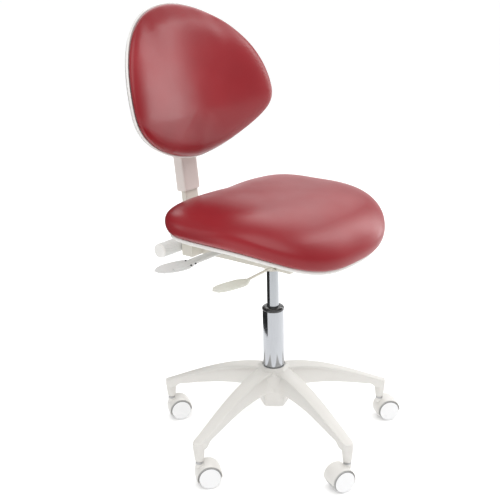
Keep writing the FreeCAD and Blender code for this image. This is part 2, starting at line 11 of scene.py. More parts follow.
import bmesh
import bpy
import numpy as np
from mathutils import Matrix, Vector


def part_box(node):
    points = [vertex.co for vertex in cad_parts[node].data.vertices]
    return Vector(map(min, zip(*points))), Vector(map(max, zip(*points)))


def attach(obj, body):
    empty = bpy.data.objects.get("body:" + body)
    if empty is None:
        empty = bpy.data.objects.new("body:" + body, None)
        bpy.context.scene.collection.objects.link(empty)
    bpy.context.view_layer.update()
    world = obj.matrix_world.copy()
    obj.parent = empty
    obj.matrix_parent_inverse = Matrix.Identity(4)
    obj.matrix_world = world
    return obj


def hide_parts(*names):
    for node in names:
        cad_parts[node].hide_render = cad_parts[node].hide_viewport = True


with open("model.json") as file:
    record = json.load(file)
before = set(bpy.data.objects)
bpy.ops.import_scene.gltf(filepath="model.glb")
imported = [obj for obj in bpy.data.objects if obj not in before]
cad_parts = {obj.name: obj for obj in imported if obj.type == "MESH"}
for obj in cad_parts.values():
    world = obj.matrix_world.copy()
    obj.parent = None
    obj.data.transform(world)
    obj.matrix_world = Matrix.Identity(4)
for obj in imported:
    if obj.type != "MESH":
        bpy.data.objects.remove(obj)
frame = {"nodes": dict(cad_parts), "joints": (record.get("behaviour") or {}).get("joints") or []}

MM = 0.001
UP = np.array([0.0, 0.0, 1.0])
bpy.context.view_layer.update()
joints = {joint["name"]: joint for joint in frame["joints"]}


def span(node):
    """The lowest and highest corner of a design node."""
    low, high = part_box(node)
    return np.array(low), np.array(high)


def pivot(joint):
    """The place of a hinge."""
    return np.array(joints[joint]["pos_m"])


# %% [markdown]
# ## Surfaces from grids of points
# Every hard piece here is a surface over two parameters: rows that run along the piece and steps that run
# round it. It could be pushed and pulled by hand from a cube, but a formula gives the same shape each time
# and keeps round things round. Neighbours in the grid make the faces, and each end is closed by a fan.

# %% Laying a mesh over grids of points
def signed_volume(points, triangles):
    """A sixth of the sum of a . (b x c) over the triangles: positive when they face outwards."""
    a, b, c = (points[triangles[:, corner]] for corner in range(3))
    return np.einsum("ij,ij->", a, np.cross(b, c)) / 6


def closed_shell(grid, ends):
    """Points, quads and triangles of one grid that is closed round its steps, facing outwards."""
    rows, steps = grid.shape[:2]
    index = np.arange(rows * steps).reshape(rows, steps)
    points = grid.reshape(-1, 3)
    triangles = np.zeros((0, 3), int)
    if ends == "ring":
        index = np.vstack([index, index[:1]])
    else:
        low, high = rows * steps, rows * steps + 1
        points = np.vstack([points, grid[0].mean(0), grid[-1].mean(0)])
        first, last = index[0], index[-1]
        triangles = np.vstack([np.stack([np.roll(first, -1), first, np.full(steps, low)], 1),
                               np.stack([last, np.roll(last, -1), np.full(steps, high)], 1)])
    right = np.roll(index, -1, axis=1)
    quads = np.stack([index[:-1], right[:-1], right[1:], index[1:]], axis=-1).reshape(-1, 4)
    halves = np.vstack([quads[:, [0, 1, 2]], quads[:, [0, 2, 3]], triangles])
    if signed_volume(points, halves) < 0:
        quads, triangles = quads[:, ::-1], triangles[:, ::-1]
    return points, quads, triangles


def lay_surface(name, *grids, ends="fan", crease=32):
    """One object from grids of shape (rows, steps, 3), each a closed shell of its own."""
    points, faces, start = [], [], 0
    for grid in grids:
        shell, quads, triangles = closed_shell(np.asarray(grid, float), ends)
        points.append(shell)
        faces += (quads + start).tolist() + (triangles + start).tolist()
        start += len(shell)
    mesh = bpy.data.meshes.new(name)
    mesh.from_pydata(np.vstack(points).tolist(), [], faces)
    mesh.shade_smooth()
    mesh.set_sharp_from_angle(angle=math.radians(crease))
    piece = bpy.data.objects.new(name, mesh)
    bpy.context.scene.collection.objects.link(piece)
    return piece


def hand_over(piece, body, slot, finish, *nodes):
    """Gives a piece its finish, its body and the design nodes that it stands for; the slot argument is not
    used.
    """
    piece.data.materials.clear()
    piece.data.materials.append(finish)
    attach(piece, body)
    if nodes:
        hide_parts(*nodes)
    print(f"{piece.name}: {len(piece.data.polygons)} faces on {body}")
    return piece


# %% [markdown]
# ## Turned, carried and rounded shapes
# Tubes, wheels and caps are turned: a profile goes round an axis. Arms, levers and sleeves are carried: a
# section goes along a path and changes size on the way. Real edges are never sharp, so outlines are
# softened first.

# %% Helpers for turned and carried shapes
def soften(corners, radius, closed=False, steps=5):
    """Rounds each corner with a quadratic curve that leaves one edge and joins the next a radius away."""
    corners = np.asarray(corners, float)
    before, after = np.roll(corners, 1, axis=0), np.roll(corners, -1, axis=0)
    if not closed:
        before[0], after[-1] = corners[0], corners[-1]

    def towards(other):
        gap = other - corners
        length = np.linalg.norm(gap, axis=1, keepdims=True)
        return corners + gap * np.minimum(radius, length * 0.45) / np.maximum(length, 1e-9)
    t = np.linspace(0, 1, steps)[None, :, None]
    curve = ((1 - t) ** 2 * towards(before)[:, None] + 2 * t * (1 - t) * corners[:, None]
             + t ** 2 * towards(after)[:, None]).reshape(-1, corners.shape[1])
    step = np.linalg.norm(np.diff(curve, axis=0), axis=1)
    return curve[np.concatenate([[True], step > 1e-6])]


def cross_axes(axis):
    """Two unit vectors square to an axis and to each other."""
    axis = np.asarray(axis, float) / np.linalg.norm(axis)
    helper = UP if abs(axis[2]) < 0.9 else np.array([1.0, 0.0, 0.0])
    first = np.cross(helper, axis)
    first /= np.linalg.norm(first)
    return first, np.cross(axis, first), axis


def turned(profile, centre, axis=UP, steps=72, wobble=None):
    """Rows of a profile (radius, height) carried round an axis; wobble scales the radius by angle."""
    radius, height = np.asarray(profile, float).T
    angle = np.linspace(0, 2 * math.pi, steps, endpoint=False)
    first, second, third = cross_axes(axis)
    circle = np.cos(angle)[:, None] * first + np.sin(angle)[:, None] * second
    scale = radius[:, None] if wobble is None else radius[:, None] * wobble(angle)[None, :]
    return np.asarray(centre) + scale[..., None] * circle + height[:, None, None] * third


def rounded_section(power, steps=40):
    """A unit superellipse |x|^n + |y|^n = 1, from a circle at n = 2 towards a square."""
    angle = np.linspace(0, 2 * math.pi, steps, endpoint=False)
    c, s = np.cos(angle), np.sin(angle)
    return np.stack([np.sign(c) * abs(c) ** (2 / power), np.sign(s) * abs(s) ** (2 / power)], 1)


def carried(section, path, half_width, half_height, up=UP):
    """A unit section carried along a path: sideways it is scaled by half_width, upwards by half_height."""
    path = np.asarray(path, float)
    tangent = np.gradient(path, axis=0)
    tangent /= np.linalg.norm(tangent, axis=1, keepdims=True)
    side = np.cross(tangent, up)
    side /= np.linalg.norm(side, axis=1, keepdims=True)
    above = np.cross(side, tangent)
    across = (section[:, 0] * np.asarray(half_width)[:, None])[..., None] * side[:, None]
    upwards = (section[:, 1] * np.asarray(half_height)[:, None])[..., None] * above[:, None]
    return path[:, None] + across + upwards


def smoothstep(low, high, value):
    """0 below low, 1 above high, and 3t^2 - 2t^3 between."""
    t = np.clip((value - low) / (high - low), 0, 1)
    return t * t * (3 - 2 * t)


# %% [markdown]
# ## Shader sums as plain expressions
# A finish is a small sum of noises. Wiring Math nodes by hand is slow to read, so a socket is wrapped in a
# class whose operators add the nodes, and one method adds any other node.

# %% Sockets that can be added and multiplied
class Wire:
    """A socket in a material's tree; an operator on it adds the Math node that does the sum."""

    def __init__(self, finish, socket):
        self.finish, self.socket = finish, socket

    def sum_with(self, operation, first, second):
        return self.finish.add("ShaderNodeMath", {"operation": operation}, {0: first, 1: second})

    def __add__(self, other):
        return self.sum_with("ADD", self, other)

    def __sub__(self, other):
        return self.sum_with("SUBTRACT", self, other)

    def __rsub__(self, other):
        return self.sum_with("SUBTRACT", other, self)

    def __mul__(self, other):
        return self.sum_with("MULTIPLY", self, other)

    __radd__, __rmul__ = __add__, __mul__


class Finish:
    """A material being made, with its shader's constants and one way to add any other node."""

    def __init__(self, name, **constants):
        self.material = bpy.data.materials.new(name)
        self.material.use_nodes = True
        self.tree = self.material.node_tree
        self.shader = self.tree.nodes["Principled BSDF"]
        for socket, value in constants.items():
            self.shader.inputs[socket.replace("_", " ")].default_value = value
        self.place = self.add("ShaderNodeTexCoord", output="Object")

    def add(self, kind, settings=None, inputs=None, output=0):
        node = self.tree.nodes.new(kind)
        for name, value in (settings or {}).items():
            if name == "stops":
                ramp = node.color_ramp
                while len(ramp.elements) < len(value):
                    ramp.elements.new(0.5)
                for stop, (position, colour) in zip(ramp.elements, value):
                    stop.position, stop.color = position, (*colour, 1.0)
            else:
                setattr(node, name, value)
        for socket, value in (inputs or {}).items():
            if isinstance(value, Wire):
                self.tree.links.new(value.socket, node.inputs[socket])
            else:
                node.inputs[socket].default_value = value
        return Wire(self, node.outputs[output])

    def noise(self, scale, detail=3.0, roughness=0.5, stretch=(1, 1, 1)):
        """Soft random values from 0 to 1; scale counts the lumps in a metre."""
        place = self.add("ShaderNodeMapping", None, {"Vector": self.place, "Scale": stretch})
        return self.add("ShaderNodeTexNoise", None, {"Vector": place, "Scale": scale, "Detail": detail,
                                                     "Roughness": roughness})

    def cells(self, scale):
        """The distance to the nearest of many scattered points, as in leather grain."""
        return self.add("ShaderNodeTexVoronoi", {"feature": "F1"}, {"Vector": self.place, "Scale": scale})

    def blend(self, amount, first, second):
        """A colour between two others."""
        return self.add("ShaderNodeMix", {"data_type": "RGBA"},
                        {0: amount, 6: (*first, 1), 7: (*second, 1)}, 2)

    def spread(self, value, low, high):
        """Stretches the middle of a noise to run from low to high."""
        return self.add("ShaderNodeMapRange", None, {"Value": value, "From Min": 0.3, "From Max": 0.7,
                                                     "To Min": low, "To Max": high})

    def feed(self, socket, wire):
        self.tree.links.new(wire.socket, self.shader.inputs[socket])
        return self

    def bump(self, height, depth, strength=1.0):
        """Raises the surface by depth metres where height is 1."""
        node = self.add("ShaderNodeBump", None, {"Height": height, "Distance": depth, "Strength": strength})
        return self.feed("Normal", node)


# %% [markdown]
# ## Red vinyl
# The upholstery is a coated cloth: a deep red with a fine pebble grain and a soft, broad sheen. A printed
# texture would tile, so the grain is made of scattered cells for the pebbles and noise for the slow change
# of colour where hands and backs have rubbed it. Grain about a millimetre wide reads as vinyl, not paint.

# %% The vinyl finish
vinyl = Finish("red_vinyl", Specular_IOR_Level=0.36, Coat_Weight=0.08, Coat_Roughness=0.30, IOR=1.5)
tone = vinyl.noise(6, 2)
vinyl.feed("Base Color", vinyl.blend(vinyl.spread(tone, 0, 1), (0.262, 0.012, 0.018), (0.318, 0.017, 0.024)))
vinyl.feed("Roughness", vinyl.spread(vinyl.noise(14, 4), 0.31, 0.38))
pebbles = vinyl.cells(950) * 0.8 + vinyl.noise(2600, 2) * 0.35 + vinyl.noise(45, 2) * 0.5
vinyl.bump(pebbles, 0.00012, 0.35)


# %% [markdown]
# ## Paints and plastics
# Powder coat has an orange-peel skin, moulded plastic a finer matt spark, and both are a little darker and
# rougher in places. One recipe covers them: two near colours, a drifting roughness and a grain.

# %% A recipe for coated and moulded surfaces
def skin(name, light, dark, roughness, grain, depth, **constants):
    """A surface of two near colours, a roughness that drifts and a fine grain."""
    finish = Finish(name, **constants)
    finish.feed("Base Color", finish.blend(finish.noise(9, 2), light, dark))
    finish.feed("Roughness", finish.spread(finish.noise(22, 4), roughness - 0.05, roughness + 0.07))
    finish.bump(finish.noise(grain, 3) + finish.noise(grain * 0.21, 2) * 0.6, depth, 0.5)
    return finish.material


base_coat = skin("cream_base", (0.745, 0.728, 0.698), (0.705, 0.688, 0.655), 0.42, 1500, 0.00006)
mechanism_coat = skin("cream_mechanism", (0.700, 0.670, 0.600), (0.650, 0.620, 0.550), 0.45, 1300, 0.00007)
shell_plastic = skin("white_shell_plastic", (0.845, 0.835, 0.810), (0.820, 0.810, 0.782), 0.30, 1900, 0.00003)
sleeve_plastic = skin("sleeve_grey", (0.770, 0.700, 0.665), (0.735, 0.665, 0.630), 0.46, 1700, 0.00006)
lever_plastic = skin("lever_grey", (0.700, 0.700, 0.690), (0.650, 0.650, 0.640), 0.42, 1500, 0.00005)
paddle_plastic = skin("paddle_cream", (0.720, 0.715, 0.650), (0.680, 0.675, 0.610), 0.40, 1500, 0.00005)
knob_plastic = skin("knob_white", (0.740, 0.745, 0.730), (0.700, 0.705, 0.690), 0.45, 1500, 0.00006)
hood_plastic = skin("caster_white", (0.780, 0.765, 0.735), (0.745, 0.730, 0.700), 0.34, 1700, 0.00003)
cap_plastic = skin("cap_white", (0.880, 0.880, 0.885), (0.850, 0.850, 0.855), 0.28, 1900, 0.00003)
tread_plastic = skin("wheel_tread", (0.560, 0.555, 0.545), (0.500, 0.495, 0.485), 0.55, 1100, 0.00008)
# Near black for the thin caster rings: painted shade that stands for the shadow in the gap between cap and
# hood.
painted_shadow_finish = skin("shadow_ring", (0.085, 0.085, 0.090), (0.060, 0.060, 0.065), 0.50, 1400, 0.00004)
bush_plastic = skin("black_bush", (0.016, 0.016, 0.018), (0.010, 0.010, 0.012), 0.20, 1600, 0.00003,
                    Coat_Weight=0.6, Coat_Roughness=0.08)
guide_plastic = skin("guide_white", (0.790, 0.790, 0.770), (0.750, 0.750, 0.730), 0.5, 1500, 0.00005)
screw_black = skin("black_screws", (0.020, 0.020, 0.022), (0.012, 0.012, 0.014), 0.35, 1500, 0.00004)


# %% [markdown]
# ## Metals
# The lift is chromed steel: almost a mirror, with faint hazing that only its roughness shows. Plain steel
# parts are brushed, which is noise stretched along one direction.

# %% Chrome, brushed steel and plywood
def metal(name, colour, roughness, stretch, scale, depth):
    """A metal whose roughness and bump follow noise that is stretched along the tool's marks."""
    finish = Finish(name, Metallic=1.0)
    marks = finish.noise(scale, 4, 0.6, stretch)
    finish.feed("Base Color", finish.blend(finish.spread(marks, 0, 1), colour,
                                           tuple(part * 0.93 for part in colour)))
    finish.feed("Roughness", finish.spread(marks, roughness, roughness * 1.7))
    finish.bump(marks, depth, 0.4)
    return finish.material


chrome = metal("chrome", (0.50, 0.515, 0.54), 0.07, (1, 1, 0.08), 420, 0.000004)
rod_chrome = metal("rod_chrome", (0.46, 0.48, 0.50), 0.10, (1, 1, 0.05), 420, 0.000004)
steel = metal("brushed_steel", (0.52, 0.52, 0.53), 0.30, (1, 0.06, 1), 900, 0.00002)

plywood_finish = Finish("plywood")
layers = plywood_finish.noise(60, 4, 0.6, (1, 1, 12))
plywood_finish.feed("Base Color", plywood_finish.blend(plywood_finish.spread(layers, 0, 1),
                                                       (0.46, 0.31, 0.17), (0.60, 0.44, 0.27)))
plywood_finish.feed("Roughness", plywood_finish.spread(layers, 0.6, 0.75))
plywood_finish.bump(layers, 0.0001, 0.5)
plywood = plywood_finish.material


# %% [markdown]
# ## Cushions: a square grid bent to a disc
# A cushion is a crowned closed form. Rings about a pole would pinch the cloth in the middle, so the top and
# the bottom are square grids bent to a disc, and a band joins them round the side. Cloth simulation then
# blows the cover up, as foam does under vinyl, while its stapled lower edge is held. Thin cloth would fold,
# so the movement is shared out between neighbours, as firm foam shares it.

# %% The padded form and its inflation
def disc(cells):
    """Reach 0..1 and angle of a square grid bent to a disc: each square ring becomes a circle."""
    side = np.linspace(-1, 1, cells + 1)
    p, q = np.meshgrid(side, side, indexing="ij")
    reach = np.maximum(abs(p), abs(q))
    wide = abs(p) >= abs(q)
    ratio = np.where(wide, q, p) / np.where(np.where(wide, p, q) == 0, 1, np.where(wide, p, q))
    turn = np.where(wide, ratio * math.pi / 4, math.pi / 2 - ratio * math.pi / 4)
    behind = np.where(wide, p < 0, q < 0)
    return reach, turn + np.where(behind, math.pi, 0)


def padded_form(name, cells, top, side, bottom, side_rows):
    """A closed cushion from three functions of (reach or height, angle): top, side band and bottom."""
    reach, angle = disc(cells)
    rim = np.arange(4 * cells + 1) / (4 * cells) * 2 * math.pi - math.pi / 4
    height, around = np.meshgrid(np.linspace(0, 1, side_rows), rim, indexing="ij")
    points, faces, start = [], [], 0
    for grid in (top(reach, angle), side(height, around), bottom(reach, angle)):
        rows, steps = grid.shape[:2]
        index = start + np.arange(rows * steps).reshape(rows, steps)
        quads = np.stack([index[:-1, :-1], index[:-1, 1:], index[1:, 1:], index[1:, :-1]], -1)
        points.append(grid.reshape(-1, 3))
        faces += quads.reshape(-1, 4).tolist()
        start += rows * steps
    mesh = bpy.data.meshes.new(name)
    mesh.from_pydata(np.vstack(points).tolist(), [], faces)
    work = bmesh.new()
    work.from_mesh(mesh)
    bmesh.ops.remove_doubles(work, verts=work.verts, dist=0.0002)
    bmesh.ops.recalc_face_normals(work, faces=work.faces)
    work.to_mesh(mesh)
    work.free()
    mesh.shade_smooth()
    piece = bpy.data.objects.new(name, mesh)
    bpy.context.scene.collection.objects.link(piece)
    return piece


def mesh_points(mesh):
    points = np.zeros(len(mesh.vertices) * 3)
    mesh.vertices.foreach_get("co", points)
    return points.reshape(-1, 3)


CLOTH_FRAMES = 20


def spread_out(move, edges, still, rounds=40):
    """Each round gives a point half its own movement and half its neighbours' mean, as stiff foam does."""
    neighbours = np.bincount(edges.ravel(), minlength=len(move))[:, None]
    for _ in range(rounds):
        total = np.zeros_like(move)
        np.add.at(total, edges[:, 0], move[edges[:, 1]])
        np.add.at(total, edges[:, 1], move[edges[:, 0]])
        move = np.where(still[:, None], 0, move / 2 + total / neighbours / 2)
    return move


def inflate(piece, held, most, pressure=4.0):
    """Blows a closed cover up by cloth simulation; no point moves more than about most metres."""
    start = mesh_points(piece.data)
    group = piece.vertex_groups.new(name="stapled_edge")
    still = held(start)
    group.add(np.flatnonzero(still).tolist(), 1.0, "REPLACE")
    cloth = piece.modifiers.new("padding", "CLOTH")
    cloth.settings.quality = 6
    cloth.settings.mass = 0.3
    cloth.settings.tension_stiffness = cloth.settings.compression_stiffness = 40
    cloth.settings.bending_stiffness = 10
    cloth.settings.use_pressure = True
    cloth.settings.uniform_pressure_force = pressure
    cloth.settings.vertex_group_mass = group.name
    cloth.settings.effector_weights.gravity = 0
    for moment in range(1, CLOTH_FRAMES + 1):
        bpy.context.scene.frame_set(moment)
    swollen = mesh_points(piece.evaluated_get(bpy.context.evaluated_depsgraph_get()).data)
    piece.modifiers.remove(cloth)
    piece.vertex_groups.remove(group)
    bpy.context.scene.frame_set(1)
    move = swollen - start
    length = np.linalg.norm(move, axis=1, keepdims=True)
    move = move * most * np.tanh(length / most) / np.maximum(length, 1e-9)
    edges = np.zeros(len(piece.data.edges) * 2, int)
    piece.data.edges.foreach_get("vertices", edges)
    start = start + spread_out(move, edges.reshape(-1, 2), still)
    print(f"{piece.name} swelled by up to {length.max() * 1000:.1f} mm before the cap")
    piece.data.vertices.foreach_set("co", start.ravel())
    piece.data.update()
    smooth = piece.modifiers.new("smooth", "SUBSURF")
    smooth.levels = smooth.render_levels = 1
    return piece


def two_sided_outline(half_width, ahead, behind, ahead_power, behind_power):
    """Radius by angle of two half superellipses |x/a|^n + |y/b|^n = 1 that meet at the widest line."""
    def radius(angle):
        across, along = np.cos(angle), np.sin(angle)
        length = np.where(along >= 0, ahead, behind)
        power = np.where(along >= 0, ahead_power, behind_power)
        return (abs(across / half_width) ** power + abs(along / length) ** power) ** (-1 / power)
    return radius


def capped(outline, limit):
    """An outline whose radius is held under a limit by a smooth minimum, which rounds its tips."""
    return lambda angle: (outline(angle) ** -24 + limit ** -24) ** (-1 / 24)


# %% [markdown]
# ## The seat cushion
# The seat is wide and rounded, with a waterfall front: its rim line drops with the cube of the reach, so
# that it doesn't press behind the knee. The middle is dished a little. The cover is fullest two fifths of
# the way up its side and tucks in above the pan.

# %% Seat sizes and cushion
seat_low, seat_high = span("seat_cushion")
SEAT_WIDTH = (seat_high[0] - seat_low[0]) / 2 - 10 * MM
SEAT_CENTRE_BACK = 8 * MM
SEAT_AHEAD = SEAT_CENTRE_BACK - seat_low[1] - 10 * MM
SEAT_BEHIND = seat_high[1] - SEAT_CENTRE_BACK - 10 * MM
RIM_HEIGHT = 546 * MM
FRONT_DROP = 41 * MM
DROP_REACH = 200 * MM
CUSHION_RISE = 68 * MM
FULLEST = 0.40
OVERHANG = 1.055
RIM_TUCK = 0.985
DISH = 10 * MM
seat_radius = two_sided_outline(SEAT_WIDTH, SEAT_AHEAD, SEAT_BEHIND, 2.8, 3.7)


def rim_line(back):
    """Height of the pan's rim: level, then falling with the cube of the distance ahead of the column."""
    return RIM_HEIGHT + 0.014 * back - FRONT_DROP * np.maximum(-back / DROP_REACH, 0) ** 3


def seat_point(scale, angle, rise):
    """A point of the seat at a fraction of the outline, a given height above the rim line."""
    radius = scale * seat_radius(angle)
    across, back = radius * np.cos(angle), SEAT_CENTRE_BACK - radius * np.sin(angle)
    return np.stack([across, back, rim_line(back) + rise], -1)


def seat_top(reach, angle):
    """Crown: full height in the middle, falling as (1 - r^4)^0.45 to the fullest line."""
    scale = 1 - (1 - reach) ** 1.5
    crown = FULLEST + (1 - FULLEST) * (1 - scale ** 4.2) ** 0.45
    return seat_point(OVERHANG * scale, angle, CUSHION_RISE * crown - DISH * (1 - scale ** 2))


def seat_side(height, angle):
    """The lower side: a quarter ellipse that tucks in from the fullest line to the pan."""
    turn = height * math.pi / 2
    tuck = (OVERHANG - RIM_TUCK) * (1 - np.cos(turn))
    return seat_point(OVERHANG - tuck, angle, CUSHION_RISE * FULLEST * (1 - np.sin(turn)))


def seat_bottom(reach, angle):
    return seat_point(reach * RIM_TUCK, angle, 0 * reach)


seat_cushion = padded_form("red_seat_cushion", 64, seat_top, seat_side, seat_bottom, 12)
inflate(seat_cushion, lambda points: points[:, 2] < rim_line(points[:, 1]) + 4 * MM, 6 * MM)
hand_over(seat_cushion, "seat", "red_vinyl", vinyl.material, "seat_cushion")


# %% [markdown]
# ## The seat pan
# Under the cushion is a white moulded pan. Only its thin rim shows from the side, but it is seen whole from
# below: a lip, a shallow belly, ribs that run outwards, and a flat boss where the steel plate is screwed on.

# %% Seat pan
PLATE_TOP = span("seat_plate")[1][2]


def pan_grid(steps=160):
    """Rows from the middle of the upper face, over the lip and down to the middle of the belly."""
    angle = np.linspace(0, 2 * math.pi, steps, endpoint=False)[None, :]
    lip = np.array([(0.90, -1.2), (0.97, -0.6), (0.992, -0.5), (0.999, -1.2), (1.002, -3.0), (1.002, -6.5),
                    (0.999, -8.6), (0.990, -10.0), (0.965, -12.5), (0.935, -15.5), (0.90, -17.0)])
    inner = np.stack([np.linspace(0.86, 0.03, 26), np.full(26, -17.0)], 1)
    profile = np.vstack([[(0.03, -1.2)], lip, inner])
    scale, rise = profile[:, :1], profile[:, 1:] * MM
    points = seat_point(scale, angle, rise + 0 * angle)
    below = (np.arange(len(profile)) > len(lip))[:, None]
    belly = 3.0 * MM * smoothstep(0.88, 0.70, scale) + 0 * angle
    rib = 1.6 * MM * np.maximum(np.cos(12 * angle), 0) ** 8 * smoothstep(0.86, 0.78, scale)
    rib = rib * smoothstep(0.30, 0.40, scale)
    points[..., 2] -= np.where(below, belly + rib, 0)
    boss = (smoothstep(0.096, 0.086, abs(points[..., 0]))
            * smoothstep(0.106, 0.096, abs(points[..., 1] - 0.015)))
    points[..., 2] = np.where(below, points[..., 2] * (1 - boss) + PLATE_TOP * boss, points[..., 2])
    return points


hand_over(lay_surface("white_seat_pan", pan_grid()), "seat", "white_shell", shell_plastic, "seat_pan")


# %% [markdown]
# ## The backrest
# The backrest is a wing: its outline is a rounded triangle, wider than it is tall, wrapped forward round
# the sitter's back and leaned. Everything is worked out in its own frame, u across, w up the lean and v
# towards the back, then turned into place.

# %% Backrest frame and cushion
BACK_LEAN = math.radians(13)
BACK_CENTRE = np.array([0, 244, 789]) * MM
BACK_HALF_WIDTH = (span("back_shell")[1][0] - span("back_shell")[0][0]) / 2 + 2 * MM
BACK_ABOVE, BACK_BELOW = 245 * MM, 123 * MM
BACK_WRAP = 66 * MM
BACK_CROWN = 32 * MM
PAD_EDGE = 7 * MM
back_radius = capped(two_sided_outline(BACK_HALF_WIDTH * 1.04, BACK_ABOVE, BACK_BELOW, 1.9, 1.65),
                     BACK_HALF_WIDTH)
back_up = np.array([0, math.sin(BACK_LEAN), math.cos(BACK_LEAN)])
back_out = np.array([0, math.cos(BACK_LEAN), -math.sin(BACK_LEAN)])


def back_point(scale, angle, depth):
    """A point of the backrest: the outline scaled, wrapped forward with the square of u, plus a depth."""
    radius = scale * back_radius(angle)
    u, w = radius * np.cos(angle), radius * np.sin(angle)
    v = depth - BACK_WRAP * (u / BACK_HALF_WIDTH) ** 2
    flat = u[..., None] * np.array([1.0, 0, 0]) + w[..., None] * back_up
    return BACK_CENTRE + flat + v[..., None] * back_out


def back_top(reach, angle):
    """The face of the pad: crowned as (1 - r^3)^0.5, ahead of the fullest line."""
    scale = 1 - (1 - reach) ** 1.5
    return back_point(scale, angle, -PAD_EDGE - BACK_CROWN * (1 - scale ** 3.0) ** 0.55)


def back_side(height, angle):
    """The pad's edge tucks in towards the shell on a quarter ellipse."""
    turn = height * math.pi / 2
    return back_point(1 - 0.03 * (1 - np.cos(turn)), angle, -PAD_EDGE * (1 - np.sin(turn)))


def back_bottom(reach, angle):
    return back_point(reach * 0.97, angle, 0 * reach)


def near_shell(points):
    """True for points within 2 mm of the board's face."""
    offset = points - BACK_CENTRE
    depth = offset @ back_out + BACK_WRAP * (offset[:, 0] / BACK_HALF_WIDTH) ** 2
    return depth > -2 * MM


back_cushion = padded_form("red_back_cushion", 64, back_top, back_side, back_bottom, 8)
inflate(back_cushion, near_shell, 6 * MM)
hand_over(back_cushion, "backrest", "red_vinyl", vinyl.material, "back_cushion")


# %% [markdown]
# ## The back shell
# A thin white shell closes the back. It shows as a pale rim beside the red pad, and from behind as one
# smooth moulding with a shallow step that follows its outline.

# %% Back shell
def shell_grid(steps=200):
    """Rows from the hidden front face, round the rim and over the back to its middle."""
    angle = np.linspace(0, 2 * math.pi, steps, endpoint=False)[None, :]
    rim = soften([(0.93, 0.4), (1.0, 0.4), (1.012, 5.0), (0.99, 11.4), (0.93, 12.0)], 0.02, steps=5)
    rear = np.stack([np.linspace(0.91, 0.02, 30), np.full(30, 12.0)], 1)
    profile = np.vstack([[(0.02, 0.4)], rim, rear])
    scale, depth = profile[:, :1], profile[:, 1:] * MM
    behind = (np.arange(len(profile)) > 10)[:, None]
    step = 1.2 * MM * smoothstep(0.84, 0.82, scale) * behind
    return back_point(scale, angle, depth - step + 0 * angle)


hand_over(lay_surface("white_back_shell", shell_grid()), "backrest", "white_shell", shell_plastic,
          "back_shell")


# %% [markdown]
# ## The leaning bar and its sleeve
# A flat steel bar rises from the clamp bolt behind the seat. The backrest's sleeve slides on it. Both are a
# rounded rectangle carried along the same leaning line, and the sleeve is hollow, with a rim at its mouth.

# %% Bar, sleeve and bracket
bar_foot = pivot("back_tilt")
bar_line = np.array(joints["back_height"]["axis"])
bar_back = np.array([0, bar_line[2], -bar_line[1]])


def leaning_block(heights, half_widths, half_depths, shift=0.0, power=7.0, steps=56):
    """A rounded rectangle at each height along the bar, in metres from the clamp bolt."""
    section = rounded_section(power, steps)
    centre = bar_foot + np.outer(heights, bar_line) + shift * bar_back
    across = (section[:, 0] * np.asarray(half_widths)[:, None])[..., None] * np.array([1.0, 0, 0])
    return centre[:, None] + across + (section[:, 1] * np.asarray(half_depths)[:, None])[..., None] * bar_back


def along_bar(profile):
    """Heights and two half sizes, from rows of (height, half width, half depth) in millimetres."""
    return (np.asarray(profile, float) * MM).T


bar = leaning_block(*along_bar([(-12, 20, 7), (-8, 23, 8), (268, 23, 8), (270, 21, 6.5)]), shift=-2 * MM)
eye = turned(soften([(5.2, -30.5), (15, -30.5), (15, 30.5), (5.2, 30.5)], 1.2, closed=True) * MM, bar_foot,
             (1, 0, 0))
hand_over(lay_surface("leaning_bar", bar), "back_bar", "painted_mechanism", mechanism_coat, "back_bar")
hand_over(lay_surface("bar_eye", eye, ends="ring"), "back_bar", "painted_mechanism", mechanism_coat)

sleeve_rows = [(313, 25, 13), (126, 25, 13), (123.4, 25.4, 13.3), (123, 26.4, 14.5), (124, 27.4, 15.4),
               (126, 27.5, 15.5), (310, 27.5, 15.5), (314, 27.1, 15.1), (316, 25.4, 13.4)]
sleeve = leaning_block(*along_bar(sleeve_rows))
hand_over(lay_surface("back_sleeve_cover", sleeve), "backrest", "sleeve_plastic", sleeve_plastic,
          "back_sleeve")


# %% [markdown]
# ## The five-arm base
# The base is one moulding. Each arm is carried outwards from the hub: a flat flange on top, with the side
# let in below it, so that a shadow line runs along the arm. The flange narrows and droops towards the end,
# where the arm turns down into the caster's post. The hub is five flats that fill the corners between the
# arms and narrow towards the floor, round a bore for the column. Polynomials through a few measured heights
# give the long curves of the arm.

# %% Arms, posts and hub
posts = [pivot(f"caster_swivel_{number}") for number in range(1, 6)]
POST_CIRCLE = float(np.hypot(*posts[0][:2]))
HUB_TOP = span("base_star")[1][2]
FLANGE = 7 * MM


def arm_section(half, drop, recess):
    """The arm's outline at each row: flange edge, step in, web and underside, on both sides."""
    side, drop, recess = (np.asarray(value)[:, None] for value in (half, drop, recess))
    corner = np.minimum(2.5 * MM, side * 0.4)
    rows = [(side * 0.0, 0 * side), (side - corner, 0 * side), (side - corner * 0.3, 0 * side - corner * 0.3),
            (side, 0 * side - corner), (side, 0 * side - FLANGE + corner * 0.6),
            (side - recess * 0.25, 0 * side - FLANGE), (side - recess * 0.8, 0 * side - FLANGE),
            (side - recess, 0 * side - FLANGE - corner * 0.8), (side - recess, -drop + corner * 1.6),
            (side - recess - corner * 0.4, -drop + corner * 0.5), (side - recess - corner * 1.6, -drop),
            (side * 0.0, -drop)]
    right = np.concatenate([np.concatenate([x, z], 1)[:, None] for x, z in rows], 1)
    left = right[:, -2:0:-1] * np.array([-1, 1])
    return np.concatenate([right, left], 1)


